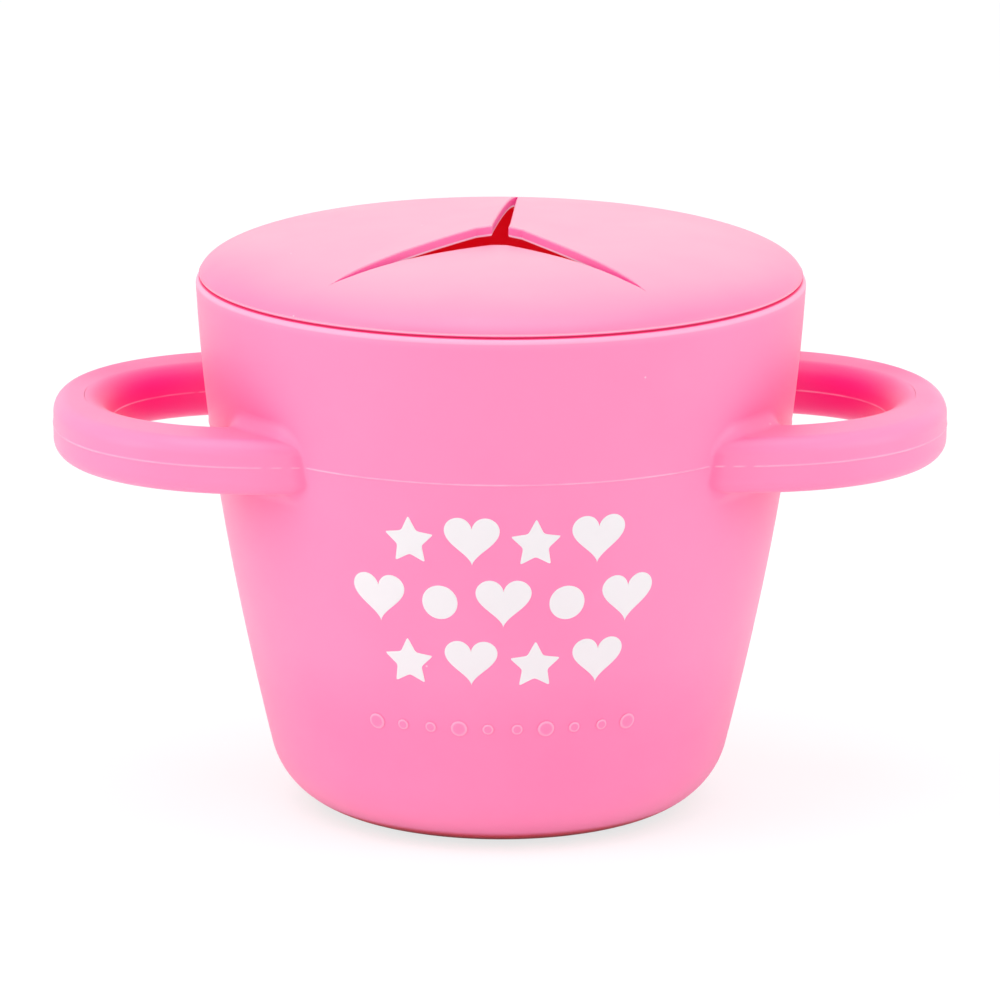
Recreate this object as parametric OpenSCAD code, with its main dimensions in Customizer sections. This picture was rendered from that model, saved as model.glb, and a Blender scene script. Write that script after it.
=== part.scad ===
// Toddler snack container: a soft moulded cup with two loop handles and a domed lid.
// The lid's crown is slit into three springy flaps, so a small hand reaches in and
// the snacks stay inside. Millimetres, +Z up. The origin is the middle of the base,
// on the table; the handles lie along X, and the front of the cup faces -Y.

/* [Cup] */
// Outer radius of the cup at its rim
rim_r = 45; // [42:0.5:52]
// Height of the rim above the table
cup_h = 79.6; // [72:0.2:96]
// Radius of the flat ring that the cup stands on
foot_r = 22.2; // [18:0.2:26]
// Rounding between the base and the wall
base_corner_r = 12.1; // [9:0.1:15]
// Lean of the wall from upright where it leaves the rounded base, in degrees
wall_lean_base = 13.4; // [8:0.1:16]
// Lean of the wall from upright at the rim, in degrees
wall_lean_rim = 2.7; // [0:0.1:6]
// Thickness of the side wall
wall_t = 2.8; // [2:0.1:4]
// Thickness of the floor
floor_t = 3.6; // [2.4:0.1:6]
// Depth of the shallow recess under the base
recess_h = 0.8; // [0.4:0.1:1.2]
// Width of the foot ring around the recess
foot_ring_w = 4.2; // [2:0.1:8]
// Rounding of the rim's outer edge
rim_edge_r = 0.7; // [0.3:0.1:1]

/* [Mouth] */
// Thickness of the rim around the mouth
rim_t = 2.8; // [2.2:0.1:4]
// Depth of the straight mouth that takes the lid's plug
mouth_depth = 9.5; // [8:0.1:14]
// Chamfer at the mouth's upper edge
mouth_chamfer = 0.5; // [0.2:0.1:1]

/* [Handles] */
// Distance from the cup's axis to the outside of a handle
handle_reach = 66.4; // [62:0.1:76]
// Half of a handle's outside width
handle_half_w = 32.2; // [28:0.1:34]
// Thickness of the grip at its outermost point
grip_t = 9.6; // [6:0.1:11]
// Half width of the finger gap
finger_half_w = 19.9; // [16:0.1:22]
// Squareness of a handle's outline: 2 is a circle, more is squarer
handle_square = 2.3; // [2:0.05:3]
// Squareness of the finger gap's outline
finger_square = 2.15; // [2:0.05:3]
// Height of a handle's section
handle_h = 8.9; // [8:0.1:14]
// Rounding of a handle's section
handle_edge_r = 4; // [2:0.1:4.2]
// Height of a handle's middle above the table
handle_z = 57.75; // [44:0.1:64]
// Rounding where a handle runs into the wall
root_fillet_r = 2.2; // [1:0.1:4]

/* [Lid] */
// Rise of the crown above the rim
lid_rise = 6.6; // [5:0.1:10]
// Step from the rim's outside in to the lid's edge
lid_inset = 0.5; // [0.2:0.1:1.2]
// Roundness of the dome in plan: 2 is an ellipse, more is flatter and squarer
dome_power_r = 2.8; // [2:0.1:4]
// Roundness of the dome's shoulder
dome_power_z = 2.2; // [1.8:0.1:3]
// Thickness of the crown, which the flaps are cut from
crown_t = 1.6; // [1.2:0.1:2]
// Turn of the lid on the cup, in degrees
lid_turn = -5.75; // [-30:0.25:30]
// Rounding of the lid's lower edge
lid_edge_r = 0.4; // [0.2:0.1:0.8]

/* [Plug] */
// Depth of the plug that holds the lid in the mouth
plug_depth = 7.5; // [6:0.1:8]
// Thickness of the plug
plug_t = 2.3; // [1.6:0.1:3]
// Chamfer that leads the plug into the mouth
plug_chamfer = 0.8; // [0.3:0.1:1.2]
// Gap between the plug and the mouth
plug_gap = 0.6; // [0.4:0.05:0.8]
// Gap between the sealing bead and the mouth
bead_gap = 0.1; // [0.05:0.05:0.2]
// Radius of the sealing bead
bead_r = 0.9; // [0.7:0.1:1.4]

/* [Slit] */
// Length of each arm of the slit, from the middle of the lid
slit_l = 36.7; // [30:0.1:37]
// Angle between the front and each of the two front arms, in degrees
slit_angle = 37; // [34:0.5:60]
// Width of an arm at the middle of the lid
slit_w_mid = 2.4; // [1:0.1:3]
// Width of an arm at its end
slit_w_end = 0.7; // [0.5:0.1:1]
// Radius of the hole where the three arms meet
hub_r = 2.3; // [1.6:0.1:4]

/* [Flaps] */
// Radius of the rounded root that a flap bends about
hinge_r = 3.0; // [2.6:0.1:3.4]
// Gap around a flap's root
flap_gap = 0.25; // [0.2:0.05:0.4]
// Length left out of a flap's root at each end
root_trim = 2; // [1.6:0.1:3]
// Height of the bending line above the middle of the crown at the slit's ends
root_lift = 0.6; // [0.4:0.1:0.8]
// Sag of the front flap at rest, in degrees
front_sag = 3.5; // [0:0.5:6]

/* [Hidden] */
$fn = 96;

cup_pink = "#ff8fbd";
lid_pink = "#ffb9d6";
flap_pink = "#ffc4dc";

// ---- the wall: a rounded base, then one smooth flared curve up to the rim ----

corner_steps = 10;
wall_steps = 18;
edge_steps = 4;
wall_z0 = base_corner_r * (1 - sin(wall_lean_base));
wall_r0 = foot_r + base_corner_r * cos(wall_lean_base);
wall_span = cup_h - wall_z0;

// Cubic through two heights, with the slope asked for at each
function hermite(s, p0, m0, p1, m1) =
    (2 * s^3 - 3 * s^2 + 1) * p0 + (s^3 - 2 * s^2 + s) * m0
    + (3 * s^2 - 2 * s^3) * p1 + (s^3 - s^2) * m1;

// Outer radius of the cup at height z
function wall_r(z) =
    z < wall_z0
    ? foot_r + sqrt(base_corner_r^2 - (base_corner_r - z)^2)
    : hermite((z - wall_z0) / wall_span,
              wall_r0, wall_span * tan(wall_lean_base),
              rim_r, wall_span * tan(wall_lean_rim));

// Points of an arc about c, from angle a0 to angle a1
function arc(c, r, a0, a1, steps) =
    [for (i = [0:steps]) let (a = a0 + (a1 - a0) * i / steps) c + r * [cos(a), sin(a)]];

// The outside of the cup in section, from the table up to the rim's flat top
outer_wall = concat(
    arc([foot_r, base_corner_r], base_corner_r, -90, -wall_lean_base, corner_steps),
    [for (i = [1:wall_steps])
        let (z = wall_z0 + (wall_span - rim_edge_r) * i / wall_steps) [wall_r(z), z]],
    arc([rim_r - rim_edge_r, cup_h - rim_edge_r], rim_edge_r, 90 / edge_steps, 90,
        edge_steps - 1));

mouth_r = rim_r - rim_t;
mouth_z = cup_h - mouth_depth;
ledge_r = wall_r(mouth_z) - wall_t;
inner_corner_r = base_corner_r - wall_t;
inner_z0 = floor_t + inner_corner_r * (1 - sin(wall_lean_base));
inner_c = [wall_r(inner_z0) - wall_t - inner_corner_r * cos(wall_lean_base),
           floor_t + inner_corner_r];
recess_r = foot_r - foot_ring_w;

// The inside of the cup in section, from the rim down to the middle of the floor
inner_wall = concat(
    [[mouth_r + mouth_chamfer, cup_h], [mouth_r, cup_h - mouth_chamfer],
     [mouth_r, mouth_z], [ledge_r, mouth_z - max(mouth_r - ledge_r, 0.01)]],
    [for (i = [1:wall_steps - 1])
        let (top = mouth_z - (mouth_r - ledge_r),
             z = top - (top - inner_z0) * i / wall_steps) [wall_r(z) - wall_t, z]],
    arc(inner_c, inner_corner_r, -wall_lean_base, -90, corner_steps),
    [[0, floor_t]]);

module cup_shell() {
    color(cup_pink)
        rotate_extrude()
            polygon(concat([[0, recess_h], [recess_r, recess_h], [recess_r + recess_h, 0]],
                           outer_wall, inner_wall));
}

// The cup's outside as a solid, which the handles are seated on
module cup_envelope() {
    rotate_extrude()
        polygon(concat([[0, 0]], outer_wall, [[0, cup_h]]));
}

// ---- the handles: a rounded section carried around a loop ----

arc_steps = 36;
leg_steps = 9;
leg_step = 1.2;
corner_points = 5;
outer_cx = handle_reach - handle_half_w;
inner_cx = handle_reach - grip_t - finger_half_w;

// Steps crowd towards the loop's ends, where the fillets are
function crowd(t) = (t < 0 ? -1 : 1) * (1 - (1 - abs(t))^1.35);

// The outer and inner points of the loop at each station, seen from above
function on_leg(i, side) =
    [[outer_cx - i * leg_step, side * handle_half_w],
     [inner_cx - i * leg_step, side * finger_half_w]];
// A quarter turn each way along a squared-off circle
function squared(a, square) =
    [cos(a)^(2 / square), (a < 0 ? -1 : 1) * abs(sin(a))^(2 / square)];
function on_arc(a) =
    [[outer_cx, 0] + handle_half_w * squared(a, handle_square),
     [inner_cx, 0] + finger_half_w * squared(a, finger_square)];
stations = concat(
    [for (i = [leg_steps:-1:1]) on_leg(i, -1)],
    [for (i = [0:arc_steps]) on_arc(90 * crowd(2 * i / arc_steps - 1))],
    [for (i = [1:leg_steps]) on_leg(i, 1)]);

// How far a surface that is d away from the wall swells to run into it
function fillet(d) =
    d >= root_fillet_r ? 0
    : root_fillet_r - sqrt(root_fillet_r^2 - (root_fillet_r - max(d, 0))^2);

// Point k of the rounded section at a station. Near the wall it swells outwards,
// less where it already faces the same way as the wall.
function section_point(st, k) =
    let (corner = floor(k / corner_points),
         a = 90 * (corner + (k % corner_points) / (corner_points - 1)),
         sx = corner == 0 || corner == 3 ? 1 : -1,
         sz = corner < 2 ? 1 : -1,
         across = st[0] - st[1],
         half_w = norm(across) / 2,
         unit = across / norm(across),
         u = sx * (half_w - handle_edge_r) + handle_edge_r * cos(a),
         w = sz * (handle_h / 2 - handle_edge_r) + handle_edge_r * sin(a),
         plain = (st[0] + st[1]) / 2 + unit * u,
         facing = cos(a) * (unit * plain) / norm(plain),
         swell = fillet(norm(plain) - wall_r(handle_z + w)) * min(1, 1 - facing),
         place = plain + unit * swell * cos(a))
    [place.x, place.y, handle_z + w + swell * sin(a)];

module handle_loop() {
    n = len(stations);
    m = 4 * corner_points;
    points = [for (st = stations) for (k = [0:m - 1]) section_point(st, k)];
    sides = [for (i = [0:n - 2]) for (k = [0:m - 1])
        let (a = i * m + k, b = i * m + (k + 1) % m)
        each [[a, b, b + m], [a, b + m, a + m]]];
    start = [for (k = [m - 1:-1:0]) k];
    finish = [for (k = [0:m - 1]) (n - 1) * m + k];
    polyhedron(points, concat([start, finish], sides));
}

module handle() {
    difference() {
        handle_loop();
        cup_envelope();
    }
}

module right_handle() {
    color(cup_pink) handle();
}

module left_handle() {
    color(cup_pink) rotate([0, 0, 180]) handle();
}

// ---- the lid: a dome with a plug ring, before its crown is slit ----

dome_steps = 18;
lid_r = rim_r - lid_inset;
plug_r = mouth_r - plug_gap;
plug_in_r = plug_r - plug_t;
plug_z = cup_h - plug_depth;
bead_steps = 8;
bead_c = [mouth_r - bead_gap - bead_r, cup_h - plug_depth / 2];
bead_angle = acos((plug_r - bead_c.x) / bead_r);

// Height of the lid's top at radius r
function dome_z(r) =
    cup_h + lid_rise * (1 - (r / lid_r)^dome_power_r)^(1 / dome_power_z);

dome_top = [for (i = [0:dome_steps]) let (a = 90 * i / dome_steps)
    [lid_r * sin(a)^(2 / dome_power_r), cup_h + lid_rise * cos(a)^(2 / dome_power_z)]];
dome_under = [for (i = [0:dome_steps]) let (r = plug_in_r * (1 - i / dome_steps))
    [r, dome_z(r) - crown_t]];

module lid_body() {
    rotate_extrude()
        polygon(concat(
            [for (p = dome_top) if (p.y > cup_h + lid_edge_r) p],
            arc([lid_r - lid_edge_r, cup_h + lid_edge_r], lid_edge_r, 0, -90, edge_steps),
            [[plug_r, cup_h]],
            arc(bead_c, bead_r, bead_angle, -bead_angle, bead_steps),
            [[plug_r, plug_z + plug_chamfer], [plug_r - plug_chamfer, plug_z],
             [plug_in_r, plug_z]],
            dome_under));
}

// ---- the slit: three tapered arms from a small hub hole ----

rear_arm = 90 + lid_turn;
left_arm = 270 + lid_turn - slit_angle;
right_arm = 270 + lid_turn + slit_angle;
cut_z = cup_h - plug_depth;
cut_h = plug_depth + lid_rise + 2;

module slit_cut() {
    translate([0, 0, cut_z])
        linear_extrude(cut_h) {
            circle(hub_r);
            for (a = [rear_arm, left_arm, right_arm])
                rotate(a) {
                    polygon([[0, -slit_w_mid / 2], [slit_l, -slit_w_end / 2],
                             [slit_l, slit_w_end / 2], [0, slit_w_mid / 2]]);
                    translate([slit_l, 0]) circle(slit_w_end / 2);
                }
        }
}

// ---- the flaps: each bends about the line between its two slit ends ----

hinge_z = dome_z(slit_l) - crown_t / 2 + root_lift;

// The space of the flap between arms a0 and a1, grown by `gap` around its root
module flap_space(a0, a1, gap) {
    half_angle = (a1 - a0) / 2;
    chord_x = slit_l * cos(half_angle);
    chord_y = slit_l * sin(half_angle);
    end_y = chord_y - root_trim + gap;
    end_x = chord_x * end_y / chord_y;
    root_r = hinge_r + gap;
    rotate(a0 + half_angle) {
        translate([0, 0, cut_z])
            linear_extrude(cut_h)
                polygon([[0, 0], [end_x, -end_y], [chord_x, -end_y],
                         [chord_x, end_y], [end_x, end_y]]);
        translate([chord_x, 0, hinge_z])
            rotate([90, 0, 0])
                linear_extrude(2 * end_y, center = true)
                    intersection() {
                        circle(root_r);
                        translate([0, -root_r]) square([root_r, 2 * root_r]);
                    }
    }
}

module flap(a0, a1, sag = 0) {
    half_angle = (a1 - a0) / 2;
    middle = a0 + half_angle;
    chord_x = slit_l * cos(half_angle);
    translate([chord_x * cos(middle), chord_x * sin(middle), hinge_z])
        rotate([0, 0, middle])
            rotate([0, -sag, 0])
                rotate([0, 0, -middle])
                    translate([-chord_x * cos(middle), -chord_x * sin(middle), -hinge_z])
                        difference() {
                            intersection() {
                                lid_body();
                                flap_space(a0, a1, 0);
                            }
                            slit_cut();
                        }
}

module lid_rim() {
    color(lid_pink)
        difference() {
            lid_body();
            slit_cut();
            flap_space(left_arm, right_arm, flap_gap);
            flap_space(rear_arm, left_arm, flap_gap);
            flap_space(right_arm, rear_arm + 360, flap_gap);
        }
}

module front_flap() {
    color(flap_pink) flap(left_arm, right_arm, front_sag);
}

module rear_left_flap() {
    color(flap_pink) flap(rear_arm, left_arm);
}

module rear_right_flap() {
    color(flap_pink) flap(right_arm, rear_arm + 360);
}

cup_shell();
left_handle();
right_handle();
lid_rim();
front_flap();
rear_left_flap();
rear_right_flap();
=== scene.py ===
# %% [markdown]
# # A toddler's snack cup in soft silicone
# The cup is two mouldings: a flared tub with two loop handles, and a domed lid whose crown
# is slit into three springy flaps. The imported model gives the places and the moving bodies.
# Here each moulding is drawn again as a smooth surface, with its fillets, lips and mould
# line, and then finished in satin rubber.

# %% Load the frame
import math

import bpy
import numpy as np
from mathutils import Matrix, Vector


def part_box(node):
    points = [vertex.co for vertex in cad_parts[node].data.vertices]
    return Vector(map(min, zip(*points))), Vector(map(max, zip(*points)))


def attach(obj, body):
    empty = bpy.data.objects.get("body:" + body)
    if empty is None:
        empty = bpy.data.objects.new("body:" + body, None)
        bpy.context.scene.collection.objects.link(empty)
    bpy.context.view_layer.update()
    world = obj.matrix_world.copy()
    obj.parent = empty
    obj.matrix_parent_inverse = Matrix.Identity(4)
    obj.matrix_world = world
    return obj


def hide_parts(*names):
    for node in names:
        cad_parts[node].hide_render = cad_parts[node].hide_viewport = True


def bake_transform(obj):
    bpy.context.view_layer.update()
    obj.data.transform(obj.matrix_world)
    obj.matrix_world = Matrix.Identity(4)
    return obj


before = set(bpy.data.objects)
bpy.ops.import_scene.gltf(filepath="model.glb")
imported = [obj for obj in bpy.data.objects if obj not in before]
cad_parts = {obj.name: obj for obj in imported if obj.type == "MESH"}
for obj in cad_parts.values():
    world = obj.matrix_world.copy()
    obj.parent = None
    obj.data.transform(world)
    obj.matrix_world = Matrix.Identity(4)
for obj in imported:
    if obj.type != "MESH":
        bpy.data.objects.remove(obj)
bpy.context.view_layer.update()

MM = 0.001
rim_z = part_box("cup_shell")[1][2] / MM
print("the rim is", round(rim_z, 2), "mm above the table")

# %% [markdown]
# ## Small tools for meshes
# Nearly every surface here is a grid of points, worked out as whole arrays. Two helpers turn
# a grid into faces and faces into an object. A third gathers grid lines where a small detail
# needs them, so that the rest of the surface can stay coarse.

# %% Grid and mesh helpers
CREASE = 30


def grid_quads(rows, cols, wrap_rows=False, wrap_cols=False):
    """Corner numbers of the quads of a rows x cols grid of points, numbered row by row."""
    i = np.arange(rows if wrap_rows else rows - 1)[:, None]
    j = np.arange(cols if wrap_cols else cols - 1)[None, :]
    here, below = i * cols, (i + 1) % rows * cols
    right = (j + 1) % cols
    return np.stack([here + j, here + right, below + right, below + j], -1).reshape(-1, 4)


def fan(loop, centre):
    """Triangles from a closed loop of point numbers to one centre point."""
    loop = np.asarray(loop)
    return np.stack([loop, np.roll(loop, -1), np.full(len(loop), centre)], -1)


def make_piece(name, points, *face_sets, body, slot):
    """An object from points in millimetres and sets of faces, smooth, riding on a body."""
    mesh = bpy.data.meshes.new(name)
    faces = [face for faces in face_sets for face in faces.tolist()]
    mesh.from_pydata((np.asarray(points) * MM).tolist(), [], faces)
    mesh.validate()
    mesh.shade_smooth()
    mesh.set_sharp_from_angle(angle=math.radians(CREASE))
    piece = bpy.data.objects.new(name, mesh)
    bpy.context.scene.collection.objects.link(piece)
    if body:
        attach(piece, body)
    print(f"{name}: {len(mesh.vertices)} points, {len(mesh.polygons)} faces")
    return piece


def tag(piece, name, values):
    """Writes one number, or one colour, per point under a name for the material to read."""
    values = np.ascontiguousarray(values, np.float32)
    colour = values.ndim == 2
    attribute = piece.data.attributes.new(name, "FLOAT_VECTOR" if colour else "FLOAT", "POINT")
    attribute.data.foreach_set("vector" if colour else "value", values.ravel())


def spots(piece):
    """A piece's points in millimetres, and how far each is from the axis."""
    place = np.empty(3 * len(piece.data.vertices), np.float32)
    piece.data.vertices.foreach_get("co", place)
    place = place.reshape(-1, 3) / MM
    return place, np.hypot(place[:, 0], place[:, 1])


def smoothstep(low, high, x):
    """0 below low, 1 above high, and t*t*(3 - 2t) between."""
    t = np.clip((x - low) / (high - low), 0, 1)
    return t * t * (3 - 2 * t)


def gather(low, high, count, at, spread, extra):
    """count even steps from low to high, with extra steps within spread of each place in at."""
    close = [np.linspace(a - spread, a + spread, extra) for a in at]
    steps = np.unique(np.concatenate([np.linspace(low, high, count), *close]))
    return steps[(steps >= low) & (steps <= high)]


# %% [markdown]
# ## The tub's wall
# The wall is a surface of revolution. Its section starts with an arc at the base and goes on
# as one cubic, which leaves the arc with a lean of 13 degrees and reaches the rim almost
# upright. That cubic is also the measure of how far any point is from the wall, which the
# handles need later. A two-part mould leaves a hair-thin line of flash where its halves meet,
# and it is not even: it fades and comes back as it goes round.

# %% Wall sizes and curve
RIM_R = 45.0
FOOT_R = 22.2
BASE_CORNER_R = 12.1
LEAN_BASE = math.radians(13.4)
LEAN_RIM = math.radians(2.7)
WALL_T = 2.8
MOUTH_R = 42.2
MOUTH_DEPTH = 9.5
FLOOR_Z = 3.6
RECESS_R = 18.0
RECESS_H = 0.8
RECESS_EDGE_R = 0.5
FOOT_EDGE_R = 0.4
RIM_EDGE_R = 0.85
RIM_INNER_R = 0.5
PARTING_Z = 58.02
FLASH_H = 0.12
FLASH_W = 0.11

wall_z0 = BASE_CORNER_R * (1 - math.sin(LEAN_BASE))
wall_r0 = FOOT_R + BASE_CORNER_R * math.cos(LEAN_BASE)
wall_span = rim_z - wall_z0


def wall_radius(z):
    """Outer radius at height z: the base's arc, then a cubic with the slope set at each end."""
    z = np.asarray(z, float)
    s = (z - wall_z0) / wall_span
    cubic = ((2 * s**3 - 3 * s**2 + 1) * wall_r0 + (3 * s**2 - 2 * s**3) * RIM_R
             + (s**3 - 2 * s**2 + s) * wall_span * math.tan(LEAN_BASE)
             + (s**3 - s**2) * wall_span * math.tan(LEAN_RIM))
    drop = np.clip(BASE_CORNER_R - z, 0, BASE_CORNER_R)
    return np.where(z < wall_z0, FOOT_R + np.sqrt(BASE_CORNER_R**2 - drop**2), cubic)


def flash(z, along):
    """The mould line at height z, as a share of its full height: a narrow bump that fades in
    and out along its run."""
    slow = 0.26 * np.sin(0.37 * along + 1) * np.sin(0.11 * along)
    quick = 0.08 * np.sin(1.9 * along)
    fade = 0.68 + slow + quick
    return fade * np.exp(-((z - PARTING_Z) / FLASH_W) ** 2)


def arc(centre, radius, start, stop, steps):
    """Points of an arc about a centre, with the angles in degrees."""
    a = np.radians(np.linspace(start, stop, steps))
    return np.column_stack([centre[0] + radius * np.cos(a), centre[1] + radius * np.sin(a)])


print("wall radius at the mould line:", round(float(wall_radius(PARTING_Z)), 2), "mm")

# %% [markdown]
# ## Turning a section
# The section runs from the middle of the underside, out and up the wall, over the rim and down
# inside to the middle of the floor. Both ends lie on the axis, so each closes in a fan of
# triangles and the tub is one watertight skin. The faces point outwards because the section
# is walked with the material on its left.

# %% Build the tub
TURN_STEPS = 288


def turned(name, section, slot, body, bump=None, poles=True):
    """Turns a section of (radius, height) points about Z. With poles, its ends are on the axis."""
    ring = section[1:-1] if poles else section
    angle = np.linspace(0, 2 * np.pi, TURN_STEPS, endpoint=False)
    radius = ring[:, :1] + (bump(ring[:, 1:], RIM_R * angle[None, :]) if bump else 0)
    height = np.broadcast_to(ring[:, 1:], (len(ring), TURN_STEPS))
    radius = np.broadcast_to(radius, height.shape)
    points = np.stack([radius * np.cos(angle), radius * np.sin(angle), height], -1).reshape(-1, 3)
    quads = grid_quads(len(ring), TURN_STEPS, wrap_rows=not poles, wrap_cols=True)
    if not poles:
        return make_piece(name, points, quads, body=body, slot=slot)
    count = len(points)
    points = np.vstack([points, [0, 0, section[0, 1]], [0, 0, section[-1, 1]]])
    first = np.arange(TURN_STEPS)
    return make_piece(name, points, quads, fan(first[::-1], count),
                      fan(first + count - TURN_STEPS, count + 1), body=body, slot=slot)


inner_corner_r = BASE_CORNER_R - WALL_T
inner_z0 = FLOOR_Z + inner_corner_r * (1 - math.sin(LEAN_BASE))
inner_corner = (float(wall_radius(inner_z0)) - WALL_T - inner_corner_r * math.cos(LEAN_BASE),
                FLOOR_Z + inner_corner_r)
mouth_z = rim_z - MOUTH_DEPTH
outer_heights = gather(wall_z0, rim_z - RIM_EDGE_R, 90, [PARTING_Z], 0.5, 21)[1:]
inner_heights = np.linspace(mouth_z - 1.2, inner_z0, 60)

base_section = np.vstack([
    [[0, RECESS_H], [RECESS_R * 0.5, RECESS_H]],
    arc((RECESS_R - RECESS_EDGE_R, RECESS_H + RECESS_EDGE_R), RECESS_EDGE_R, -90, -60, 3),
    arc((RECESS_R + 1.2, FOOT_EDGE_R), FOOT_EDGE_R, -150, -90, 4),
    arc((FOOT_R, BASE_CORNER_R), BASE_CORNER_R, -90, -math.degrees(LEAN_BASE), 28),
])
tub_section = np.vstack([
    base_section,
    np.column_stack([wall_radius(outer_heights), outer_heights])[:-1],
    arc((RIM_R - RIM_EDGE_R - 0.03, rim_z - RIM_EDGE_R), RIM_EDGE_R, 0, 90, 9),
    [[RIM_R - RIM_EDGE_R - 0.2, rim_z], [RIM_R - RIM_EDGE_R - 0.3, rim_z]],
    arc((MOUTH_R + RIM_INNER_R, rim_z - RIM_INNER_R), RIM_INNER_R, 90, 180, 7),
    [[MOUTH_R, mouth_z + 4], [MOUTH_R, mouth_z + 0.2]],
    np.column_stack([wall_radius(inner_heights) - WALL_T, inner_heights])[:-1],
    arc(inner_corner, inner_corner_r, -math.degrees(LEAN_BASE), -90, 24),
    [[6, FLOOR_Z], [0, FLOOR_Z]],
])
outer_rows = np.arange(len(tub_section)) < len(base_section) + len(outer_heights)


def wall_flash(z, along):
    """The mould line on the wall: the section's first rows are outside, the rest inside."""
    return FLASH_H * flash(z, along) * outer_rows[1:-1, None]


tub = turned("cup_wall", tub_section, "cup", "cup", bump=wall_flash)

# %% [markdown]
# ## Painted light: glow, highlights and shade
# The walls let some light through, and it comes out red. So the inside is never black: it glows
# deep red, and the narrow groove between lid and rim glows magenta. Both could come from real
# scattering under the skin, but that is slow and noisy in such thin walls. So they are painted on
# the points as a faint glow of their own, which is lost as soon as daylight falls there. A second
# number, flash, is a painted highlight: it says where a sharp line or edge catches more light and
# reads paler. A third is painted shade: it says where the colour runs deeper than usual because
# little light gets there, or, below 0, paler, as painted light.

# %% Tag the tub
# Colours of the painted glow: soaked red inside, magenta in the groove between lid and rim and on
# the slit's cut, and pale pink at the flaps' lips.
SOAKED_GLOW_RED = np.array([0.1, 0.0004, 0.001])
SEAM_GLOW_RED = np.array([0.08, 0.001, 0.01])
CUT_GLOW_PINK = np.array([0.08, 0.0, 0.07])
LIP_GLOW_PINK = np.array([0.12, 0.3, 0.34])
GROOVE_OUT = 0.1
GROOVE_HALF_W = 0.31

spot, spot_r = spots(tub)
within = (spot_r < wall_radius(spot[:, 2]) - WALL_T / 2) & (spot[:, 2] > FLOOR_Z / 2)
from_groove = np.abs(spot_r - (RIM_R - RIM_EDGE_R + GROOVE_OUT))
groove = (spot[:, 2] > rim_z - 0.1) & (from_groove < GROOVE_HALF_W)
# Painted glow: soaked red inside the cup, and magenta in the groove under the lid.
tag(tub, "glow", within[:, None] * SOAKED_GLOW_RED + (groove & ~within)[:, None] * SEAM_GLOW_RED)
# Painted highlight: a pale band on the rim's rounding, and a pale mould line.
rim_highlight = 0.7 * smoothstep(rim_z - RIM_EDGE_R - 0.1, rim_z - RIM_EDGE_R + 0.25, spot[:, 2])
line = flash(spot[:, 2], RIM_R * np.arctan2(spot[:, 1], spot[:, 0]))
tag(tub, "flash", np.where(within | groove, 0, np.maximum(line, rim_highlight)))
# Painted shade deep in the groove under the lid; the inside of the cup is painted paler.
tag(tub, "painted_shade", np.where(groove, 1.0, -0.6 * within))
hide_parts("cup_shell")
print("points in the groove:", int(groove.sum()), "and inside the cup:", int(within.sum()))

# %% [markdown]
# ## The loop handles
# Seen from above a handle is a fat crescent, a little squarer than a circle. Its section is an
# upright rectangle with corners so generous that it is almost round. It could be joined to the
# tub with a boolean, but that leaves a hard crease, and rubber runs into the wall in a fillet.
# So each line of points that follows the loop ends in a fillet of its own: at every step of
# the quarter turn, it is moved off the loop by as much as it should be, and slid along the loop
# until its distance from the wall is right too. Where a face meets the wall at a flat angle,
# as on the outside, a ball rolled in the corner would touch close by, so the fillet is smaller.

# %% Handle sizes and distances
HANDLE_REACH = 66.1
HANDLE_HALF_W = 31.85
HANDLE_DEPTH = 32.9
HANDLE_SQUARE = 2.2
GRIP_T = 8.4
FINGER_HALF_W = 19.2
FINGER_DEPTH = 21.8
FINGER_SQUARE = 2.14
HANDLE_H = 8.3
OUTER_EDGE_R = 2.3
INNER_EDGE_R = 3.85
HANDLE_Z = 57.72
ROOT_R = 2.2
outer_cx = HANDLE_REACH - HANDLE_DEPTH
inner_cx = HANDLE_REACH - GRIP_T - FINGER_DEPTH
print("over both handles:", 2 * HANDLE_REACH, "mm; room for a finger:", FINGER_DEPTH, "mm")


def wall_distance(p):
    """How far points are outside the wall."""
    return np.hypot(p[..., 0], p[..., 1]) - wall_radius(p[..., 2])


def squared(turn, square):
    """A quarter of a superellipse: (cos, sin) of a turn, each to the power 2 / square."""
    return np.stack([np.cos(turn) ** (2 / square), np.sin(turn) ** (2 / square)], -1)


# %% The handle's section and path
def section_frame():
    """The rounded section, walked once round: flats move (cx, cz), corners turn (nx, nz)."""
    outer = gather(-1, 1, 7, [(PARTING_Z - HANDLE_Z) / (HANDLE_H / 2 - OUTER_EDGE_R)], 0.3, 13)
    inner = np.linspace(1, -1, 13)
    across = np.linspace(1, -1, 7)
    plain = np.radians(np.linspace(0, 90, 11))[1:-1]
    fine = np.radians(np.concatenate([np.linspace(9, 81, 9), np.linspace(83, 90, 11)[:-1]]))
    rows = []
    for quarter, (cx, cz, flat) in enumerate([(1, 1, outer), (-1, 1, across),
                                              (-1, -1, inner), (1, -1, across[::-1])]):
        upright = quarter % 2 == 0
        turn = fine if quarter == 1 else plain
        a = quarter * math.pi / 2
        n = len(flat)
        rows.append(np.column_stack([
            np.full(n, 1 - quarter) if upright else flat,
            flat if upright else np.full(n, 2 - quarter),
            np.full(n, math.cos(a)), np.full(n, math.sin(a))]))
        rows.append(np.column_stack([np.full(len(turn), cx), np.full(len(turn), cz),
                                     np.cos(turn + a), np.sin(turn + a)]))
    return np.vstack(rows)


def side_line(centre, reach, square, v):
    """One side of the loop in plan: a superellipse's quarter, then a straight leg."""
    leg = np.maximum(v - 1, 0) * HANDLE_HALF_W * np.pi / 2
    quarter = reach * squared(np.clip(v, 0, 1) * np.pi / 2, square)
    return [centre, 0] + quarter - leg[..., None] * [1, 0]


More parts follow.
